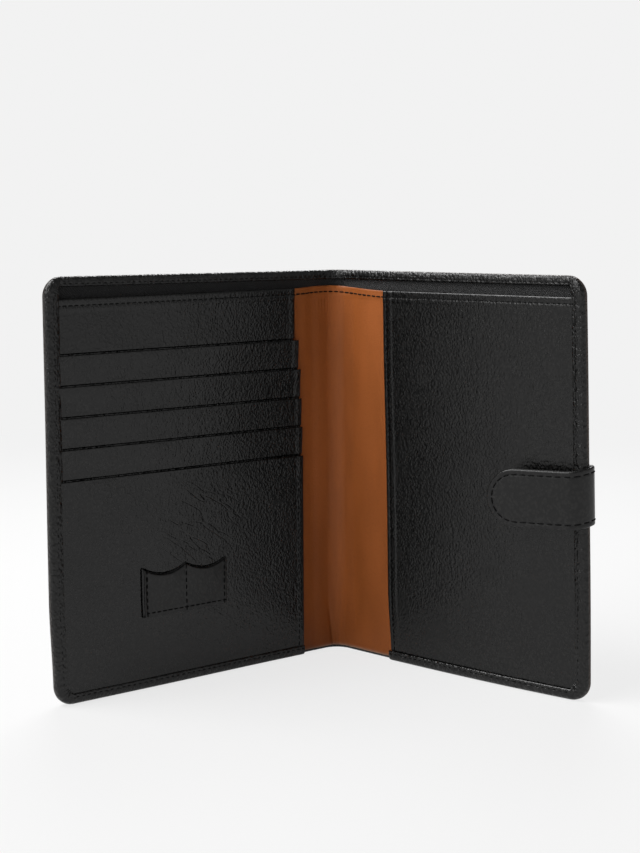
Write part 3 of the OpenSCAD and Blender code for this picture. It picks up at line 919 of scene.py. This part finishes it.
# Its inner edge is painted darker, a painted shade line beside the strip, and its top edge is burnished.
passport_panel = slab("passport_panel_leather", (passport_start, half_w - sheet_inset),
                      (sheet_inset, panel_top), passport_surface, panel_back, step=0.8, radius=0.6,
                      side=passport_edge, worn_and_shaded=(0.8, 0, 0, -1),
                      fine=([(passport_start + 0.8, passport_start + 4.4, 0.25)], [turned_marks]))
finish(passport_panel, panel_leather, "black_leather", "passport_panel")
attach(passport_panel, "back_half")

# Closing tab
# A strap of two black leathers glued and sewn together, with a magnet between them. One end is sewn on the
# outside of the back cover; the strap turns round the fore-edge and its round end springs off the inside.

low, high = box_mm("tab_root")
fuller = 0.3
drop = 0.35
tab_w = high[2] - low[2] + fuller
tab_z = (high[2] + low[2]) / 2 - drop
tab_top_t = 1.0
tab_lining_t = 0.8
tab_mid = (tab_top_t + tab_lining_t) / 2
tab_root_l = 27.0
tab_free_l = 27.5
tab_edge_gap = 1.7
tab_lift = math.radians(9)
tab_rise = 1.5
tab_droop = 0.024
tight_r = 2.4
tight_turn = math.radians(90)
easy_r = 6.0
easy_turn = math.pi - tab_lift - tight_turn
root_run = tab_root_l - tab_edge_gap
tight_run = tight_r * tight_turn
easy_run = easy_r * easy_turn
round_edge = root_run + tight_run
off_edge = round_edge + easy_run
strap_l = off_edge + tab_free_l


def strap_line(t):
    """Run, depth and heading of the strap's middle line, at a length from its sewn end."""
    on_tight = np.clip((t - root_run) / tight_run, 0, 1) * tight_turn
    on_easy = np.clip((t - round_edge) / easy_run, 0, 1) * easy_turn
    heading = on_tight + on_easy
    u = half_w - tab_root_l + np.minimum(t, root_run)
    u = u + tight_r * np.sin(on_tight) + easy_r * (np.sin(tight_turn + on_easy) - math.sin(tight_turn))
    depth = -tab_mid + tight_r * (1 - np.cos(on_tight))
    depth = depth + easy_r * (math.cos(tight_turn) - np.cos(tight_turn + on_easy))
    free = np.maximum(t - off_edge, 0)
    return u + free * np.cos(heading), depth + free * np.sin(heading), heading


def strap(t, across, offset):
    """Points of the strap: t along it, across its width, and offset outwards from its middle line."""
    u, depth, heading = strap_line(t)
    z = tab_z + across + tab_rise * smooth(t, off_edge + 1, root_run + tight_run / 2)
    z = z - tab_rise * smooth(t, root_run, root_run - 12) - tab_droop * np.maximum(t - off_edge, 0)
    return place(u + offset * np.sin(heading), z, depth - offset * np.cos(heading))


strap_cuts = (0, round_edge, off_edge + 3.0, strap_l)
strap_words = ("edge", "reach", "end")
strap_bends = ((root_run + 0.5, root_run + tight_r * 1.4), (round_edge + 1.0, round_edge + 5.0),
               (off_edge + 3.5, off_edge + 9.5))
trim_seam = 1.8
strap_round = 0.55


def strap_piece(name, start, stop, inner, outer):
    """One layer of the strap between two lengths, with rounded sides and a sewn line along them."""
    tip = stop >= strap_l
    round_r = tab_w / 2
    t = marks(start, min(stop, strap_l - round_r), 0.5)
    if tip:
        t = np.concatenate([t[:-1], strap_l - round_r + round_r * np.sin(np.linspace(0, math.pi / 2, 41))])
    grid_t, grid_q = np.meshgrid(t, edged(-1, 1, 0.03, 0.08), indexing="ij")
    past = np.maximum(grid_t - (strap_l - round_r), 0)
    half = np.sqrt(np.maximum(round_r ** 2 - past ** 2, 0))
    across = grid_q * half
    inset = round_r - np.hypot(past, across)
    if start == 0:
        inset = np.minimum(inset, grid_t)
    swell = rounding(inset, strap_round)
    dip = 0.12 * bell(inset - trim_seam, 0.4)
    middle = (inner + outer) / 2
    face = middle + (outer - middle) * swell - dip * (outer > 0)
    rear = middle - (middle - inner) * swell + dip * (outer <= 0)
    stretched = smooth(grid_t, root_run, root_run + 2) * smooth(grid_t, off_edge + 2, round_edge)
    worn_and_shaded = -np.maximum(bell(inset, 0.4), 0.7 * stretched)
    return weld(name, [np.stack([grid_t, across, face], -1), np.stack([grid_t, across, rear], -1)], strap,
                wear_and_shade=[worn_and_shaded, worn_and_shaded])


def bend_strap(piece, part):
    """Bakes the placement of a piece of the strap, which lies over the fold that joins its two bodies, into
    its mesh. The piece is not attached to either body.
    """
    [strap(t, 0, 0) for t in strap_bends[part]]
    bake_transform(piece)


strap_nodes = {"outer": (("tab_root",), ("tab_reach_bend",), ("tab_top_leather",)),
               "lining": (("tab_edge_bend",), (), ("tab_lining",))}
strap_split = tab_mid - tab_top_t
strap_layers = (("outer", strap_split + 0.02, tab_mid), ("lining", -tab_mid, strap_split - 0.02))
for layer, inner, outer in strap_layers:
    for part, word in enumerate(strap_words):
        piece = strap_piece(f"tab_{layer}_{word}", strap_cuts[part], strap_cuts[part + 1], inner, outer)
        finish(piece, smooth_leather, "black_leather", *strap_nodes[layer][part])
        bend_strap(piece, part)

magnet_at = (strap_l - 10.5, 0)
magnet_half_t = 0.4
tab_magnet = disc("tab_magnet_disc", magnet_at, magnet_r, strap_split + magnet_half_t,
                  strap_split - magnet_half_t, strap)
finish(tab_magnet, steel, "steel", "tab_magnet")
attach(tab_magnet, "tab_end")

# Thread
# Black twisted thread sews every seam. Each stitch is a short bowed length of thread whose ends dive into
# the leather, and the rows follow the seams' own lines on the surface.

stitch_l = 1.5
stitch_w = 0.36
stitch_rise = 0.1


def stitch_tree():
    """Geometry Nodes tree that sets stitches along the edges of a mesh, at a pitch."""
    tree = bpy.data.node_groups.new("stitches", "GeometryNodeTree")
    tree.interface.new_socket("Seam lines", in_out="INPUT", socket_type="NodeSocketGeometry")
    sizes = {"Pitch": stitch_pitch, "Length": stitch_l, "Width": stitch_w, "Rise": stitch_rise}
    for name, value in sizes.items():
        socket = tree.interface.new_socket(name, in_out="INPUT", socket_type="NodeSocketFloat")
        socket.default_value = value * MM
    tree.interface.new_socket("Thread", in_out="INPUT", socket_type="NodeSocketMaterial")
    tree.interface.new_socket("Stitches", in_out="OUTPUT", socket_type="NodeSocketGeometry")
    given = tree.nodes.new("NodeGroupInput").outputs
    lines = node(tree, "GeometryNodeMeshToCurve", {"Mesh": given["Seam lines"]}).outputs[0]
    pitched = {"Curve": lines, "Length": given["Pitch"]}
    spaced = node(tree, "GeometryNodeResampleCurve", pitched, mode="LENGTH")
    half = math_node(tree, "MULTIPLY", given["Length"], 0.5)
    back = math_node(tree, "MULTIPLY", half, -1.0)
    sunk = math_node(tree, "MULTIPLY", given["Rise"], -1.0)
    crest = math_node(tree, "MULTIPLY", given["Rise"], 2.4)
    ends = [node(tree, "ShaderNodeCombineXYZ", {"X": x, "Z": z}).outputs[0]
            for x, z in ((back, sunk), (0.0, crest), (half, sunk))]
    bow = node(tree, "GeometryNodeCurveQuadraticBezier",
               {"Resolution": 5, "Start": ends[0], "Middle": ends[1], "End": ends[2]}).outputs[0]
    radius = math_node(tree, "MULTIPLY", given["Width"], 0.5)
    ring = node(tree, "GeometryNodeCurvePrimitiveCircle", {"Resolution": 6, "Radius": radius}).outputs[0]
    stitch = node(tree, "GeometryNodeCurveToMesh", {"Curve": bow, "Profile Curve": ring, "Fill Caps": True})
    up = node(tree, "GeometryNodeInputNamedAttribute", {"Name": "up"}, data_type="FLOAT_VECTOR").outputs[0]
    along = node(tree, "GeometryNodeInputTangent").outputs[0]
    turned = node(tree, "FunctionNodeAxesToRotation", {0: up, 1: along}, primary_axis="Z", secondary_axis="X")
    uneven = node(tree, "FunctionNodeRandomValue", {0: (0.86, 0.9, 0.8), 1: (1.04, 1.1, 1.15), "Seed": 7},
                  data_type="FLOAT_VECTOR").outputs[0]
    sewn = node(tree, "GeometryNodeInstanceOnPoints",
                {"Points": spaced.outputs[0], "Instance": stitch.outputs[0], "Rotation": turned.outputs[0],
                 "Scale": uneven}).outputs[0]
    real = node(tree, "GeometryNodeRealizeInstances", {0: sewn}).outputs[0]
    dyed = node(tree, "GeometryNodeSetMaterial", {"Geometry": real, "Material": given["Thread"]}).outputs[0]
    tree.links.new(dyed, tree.nodes.new("NodeGroupOutput").inputs[0])
    return tree


def twisted_thread(name, colour):
    """Twisted polyester: fine diagonal strands with a soft gloss."""
    material, tree, shader = blank(name)
    strands = bands(tree, node(tree, "ShaderNodeTexCoord").outputs["Object"], 1600.0, 1.5, "DIAGONAL")
    tone = mix_colour(tree, strands, shade(colour, 0.5), colour)
    dress(tree, shader, tone, span(tree, strands, 0.0, 1.0, 0.75, 0.6), strands, 0.4, 0.00008)
    shader.inputs["Specular IOR Level"].default_value = 0.1
    return material


sewing = stitch_tree()
thread = twisted_thread("black_thread", (0.002, 0.002, 0.002))


def sew(name, rows, nodes, to_world=place, pitch=stitch_pitch, length=stitch_l, width=stitch_w):
    """Piece of stitches along rows of lay points, standing on the side to which their third value grows."""
    points, ups, edges = [], [], []
    for row, side in rows:
        here = to_world(*row.T)
        above = to_world(row[:, 0], row[:, 1], row[:, 2] + 0.2 * side)
        up = (above - here) / np.linalg.norm(above - here, axis=1, keepdims=True)
        edges += [(len(points) + k, len(points) + k + 1) for k in range(len(row) - 1)]
        points += here.tolist()
        ups += up.tolist()
    mesh = bpy.data.meshes.new(name)
    mesh.from_pydata(points, edges, [])
    mesh.attributes.new("up", "FLOAT_VECTOR", "POINT").data.foreach_set("vector", np.array(ups).ravel())
    piece = add(name, mesh)
    modifier = piece.modifiers.new("stitches", "NODES")
    modifier.node_group = sewing
    sockets = {item.name: item.identifier for item in sewing.interface.items_tree if item.in_out == "INPUT"}
    modifier[sockets["Thread"]] = thread
    for socket, value in (("Pitch", pitch), ("Length", length), ("Width", width)):
        modifier[sockets[socket]] = value * MM
    bpy.context.view_layer.update()
    sewn = bpy.data.meshes.new_from_object(piece.evaluated_get(bpy.context.evaluated_depsgraph_get()))
    piece.modifiers.remove(modifier)
    piece.data = sewn
    sewn.shade_smooth()
    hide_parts(*nodes)
    return piece


row_step = 0.5


def row_along(s, z, depth):
    """Row of lay points along s or z, about a step apart."""
    length = max(abs(s[1] - s[0]), abs(z[1] - z[0]))
    share = np.linspace(0, 1, max(2, round(length / row_step)))
    run, up = s[0] + (s[1] - s[0]) * share, z[0] + (z[1] - z[0]) * share
    return np.stack([run, up, depth(run, up) if callable(depth) else depth + 0 * run], -1)


for word, to_s, start, crown, side_crown, side_seam in (
        ("front", front_s, front_hem_start, front_crown, front_side_crown, front_seam),
        ("back", back_s, passport_start, back_crown, back_side_crown, back_seam)):
    rows = []
    corner_u = half_w - corner_r - 1
    straight = (marks(start + 1, corner_u, row_step), marks(corner_r + 1, height - corner_r - 1, row_step),
                marks(corner_u, mid_spine, row_step))
    for part, line in enumerate(straight):
        edge_u = (line, half_w + 0 * line, line)[part]
        edge_z = (0 * line, line, height + 0 * line)[part]
        lip, seam, top, flat = hem_course(edge_u, edge_z, start, crown, side_crown, side_seam)
        aside, up = -1.0 * (part == 1), (part == 0) - 1.0 * (part == 2)
        share = (seam - rim_r) / (lip - rim_r)
        face = top - 0.1 - pressed * flat * smooth(share, 0.25, 1)
        for inset, depth, side in ((seam, face, 1), (side_seam, 0.08 + 0 * line, -1)):
            rows.append((np.stack([to_s(edge_u + inset * aside), edge_z + inset * up, depth], -1), side))
    nodes = (f"{word}_edge_thread", "spine_edge_thread") if word == "front" else (f"{word}_edge_thread",)
    piece = sew(f"edge_seam_{word}", rows, nodes, length=1.2, width=0.42)
    (bend_front if word == "front" else bend_back)(piece)

inner_s = front_s(pocket_start(5) + panel_seam)
seam_z = panel_top - panel_seam
card_seam_s = (front_s(card_start + 1), front_s(half_w - side_lip))
lowest_pocket = pocket_surface(slits[4], 0, pocket_start(5))
card_rows = [(row_along(card_seam_s, (seam_z, seam_z), card_surface), 1),
             (row_along((inner_s, inner_s), (base_lip + 1, slits[4] - 8), lowest_pocket), 1)]
piece = sew("card_panel_seam", card_rows, ("card_panel_thread",), card_place)
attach(piece, "front_half")


def chip_surface(s, z):
    """Depth of the patch's face where it is sewn down."""
    return chip_back(s, z) + chip_t


chip_seam = 1.1
chip_sides = [front_s(chip_start + x) for x in (chip_seam, chip_w / 2, chip_w - chip_seam)]
chip_rows = [(row_along((s, s), (chip_z + chip_seam, chip_top - 1), chip_surface), 1) for s in chip_sides]
chip_rows.append((row_along((chip_sides[0], chip_sides[2]), (chip_z + 1.4,) * 2, chip_surface), 1))
piece = sew("chip_pocket_seam", chip_rows, ("chip_pocket_thread",), card_place, width=0.5)
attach(piece, "front_half")

strip_seams = (
    ("left", front_s(card_start), mid_spine, "spine_strip_thread", bend_front),
    ("right", mid_spine, passport_edge(height) - 0.3, "spine_strip_back_thread", bend_back))
for word, begin, stop, strip_node, bend_over in strip_seams:
    strip_s = marks(begin, stop, row_step)
    sewn_z = strip_edge(strip_s) - panel_seam
    strip_row = np.stack([strip_s, sewn_z, strip_surface(strip_s, sewn_z)], -1)
    piece = sew(f"strip_seam_{word}", [(strip_row, 1)], (strip_node,), pitch=2.0, length=1.6, width=0.5)
    bend_over(piece)

inner_z = marks(base_lip + 1, seam_z - 1, row_step)
inner_s = passport_edge(inner_z) + inner_seam
passport_seam_s = (passport_edge(panel_top) + 1, half_w - side_lip)
passport_rows = [(row_along(passport_seam_s, (seam_z, seam_z), passport_surface), 1),
                 (np.stack([inner_s, inner_z, passport_surface(inner_s, inner_z)], -1), 1)]
piece = sew("passport_panel_seam", passport_rows, ("passport_panel_thread",))
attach(piece, "back_half")

seam_across = tab_w / 2 - trim_seam
strap_face = tab_mid - 0.1
seam_nodes = (("tab_root_thread",), (), ("tab_thread",))
for part, word in enumerate(strap_words):
    start, stop = strap_cuts[part], strap_cuts[part + 1]
    rows = []
    if part == 0:
        start = trim_seam
        box_ends = (trim_seam, root_run - 5)
        rows = [(row_along((t, t), (-seam_across, seam_across), strap_face), 1) for t in box_ends]
    if part == 2:
        stop = strap_l - tab_w / 2
        swing = np.linspace(-math.pi / 2, math.pi / 2, 60)
        tip_t, tip_across = stop + seam_across * np.cos(swing), seam_across * np.sin(swing)
        rows.append((np.stack([tip_t, tip_across, strap_face + 0 * swing], -1), 1))
    rows += [(row_along((start, stop), (side, side), strap_face), 1) for side in (-seam_across, seam_across)]
    piece = sew(f"tab_seam_{word}", rows, seam_nodes[part], strap, pitch=2.6, length=2.0, width=0.46)
    bend_strap(piece, part)

# Studio
# Plain pale floor and soft light from large boxes, as a product table has. The camera stands where the
# photograph was taken.


def background_rays(tree):
    """1 for camera rays, and 1 for those of gloss and through clear things, which see the background too."""
    path = node(tree, "ShaderNodeLightPath").outputs
    gloss = math_node(tree, "MAXIMUM", path["Is Glossy Ray"], path["Is Transmission Ray"])
    return path["Is Camera Ray"], gloss


def studio_floor(name, tone):
    """Pale floor that shows the camera an even tone and keeps a soft shadow round the object."""
    material, tree, shader = blank(name)
    shader.inputs["Base Color"].default_value = (tone, tone, tone, 1)
    shader.inputs["Roughness"].default_value = 0.9
    glow = node(tree, "ShaderNodeEmission", {"Color": (tone, tone, tone, 1), "Strength": 1.0})
    at = node(tree, "ShaderNodeTexCoord").outputs["Object"]
    away = node(tree, "ShaderNodeVectorMath", {0: at}, operation="LENGTH").outputs["Value"]
    straight, gloss = background_rays(tree)
    seen = math_node(tree, "MULTIPLY", straight, span(tree, away, 0.12, 0.6, 0.84, 1.0))
    # Gloss rays see the floor's glow fainter towards the left and brighter than the backdrop towards the
    # right: a painted reflection for the leather's sheen.
    across = node(tree, "ShaderNodeSeparateXYZ", {"Vector": at}).outputs["X"]
    gloss = math_node(tree, "MULTIPLY", gloss, span(tree, across, -0.4, 0.4, 0.75, 1.3))
    seen = math_node(tree, "MULTIPLY_ADD", gloss, span(tree, away, 0.0, 0.2, 0.3, 1.0), seen)
    mixed = node(tree, "ShaderNodeMixShader", {0: seen, 1: shader.outputs[0], 2: glow.outputs[0]})
    tree.links.new(mixed.outputs[0], tree.nodes["Material Output"].inputs["Surface"])
    return material


background = 0.887
floor_r = 6
floor_mesh = bpy.data.meshes.new("floor")
floor_corners = [(x * floor_r, y * floor_r, 0) for x, y in ((-1, -1), (1, -1), (1, 1), (-1, 1))]
floor_mesh.from_pydata(floor_corners, [], [(0, 1, 2, 3)])
floor_mesh.materials.append(studio_floor("studio_floor", background))
floor = add("floor", floor_mesh)

world = bpy.data.worlds.new("studio")
world.use_nodes = True
tree = world.node_tree
straight, gloss = background_rays(tree)
seen = math_node(tree, "MAXIMUM", straight, gloss)
sky = tree.nodes["Background"]
sky.inputs["Color"].default_value = (1, 1, 1, 1)
sky.inputs["Strength"].default_value = 0.02
way = node(tree, "ShaderNodeTexCoord").outputs["Generated"]
rise = node(tree, "ShaderNodeSeparateXYZ", {"Vector": way}).outputs["Z"]
overhead = math_node(tree, "MULTIPLY", gloss, span(tree, rise, 0.0, 0.25, 0.76, 0.26))
overhead = math_node(tree, "MULTIPLY_ADD", straight, background, overhead)
seen_sky = node(tree, "ShaderNodeBackground", {"Color": (1, 1, 1, 1), "Strength": overhead})
mixed = node(tree, "ShaderNodeMixShader", {0: seen, 1: sky.outputs[0], 2: seen_sky.outputs[0]})
tree.links.new(mixed.outputs[0], tree.nodes["World Output"].inputs["Surface"])
bpy.context.scene.world = world


def soft_box(name, at, aim, size, watts):
    """Square soft box that faces a point."""
    light = bpy.data.lights.new(name, "AREA")
    light.size = size
    light.energy = watts
    lamp = add(name, light)
    lamp.location = at
    lamp.rotation_euler = (Vector(aim) - Vector(at)).to_track_quat("-Z", "Y").to_euler()


middle = (0, 0, 0.07)
soft_box("high_left_box", (-0.65, -0.05, 0.95), middle, 0.5, 9.0)
soft_box("left_box", (-0.9, -0.7, 0.7), middle, 0.6, 6.0)
soft_box("front_left_box", (-0.5, -0.35, 1.0), middle, 0.6, 3.7)
soft_box("right_box", (0.8, -0.8, 0.55), middle, 0.6, 0.6)
soft_box("back_box", (0.0, 0.6, 0.7), middle, 0.6, 8.0)

camera_data = bpy.data.cameras.new("camera")
focal_px, image_h, centre_y = 1498.0, 853, 316.3
sensor_w = 36
camera_data.sensor_width = sensor_w
camera_data.lens = sensor_w * focal_px / image_h
camera_data.shift_y = (centre_y - image_h / 2) / image_h
camera = add("camera", camera_data)
pitch, yaw, roll = (math.radians(a) for a in (3.875, -0.253, -0.261))
camera_at = (-0.00327, -0.54518, 0.15994)
turn = Matrix.Rotation(yaw, 4, "Z") @ Matrix.Rotation(math.pi / 2 - pitch, 4, "X")
turn = turn @ Matrix.Rotation(roll, 4, "Z")
camera.matrix_world = Matrix.Translation(camera_at) @ turn
bpy.context.scene.camera = camera
bpy.context.scene.view_settings.view_transform = "Standard"
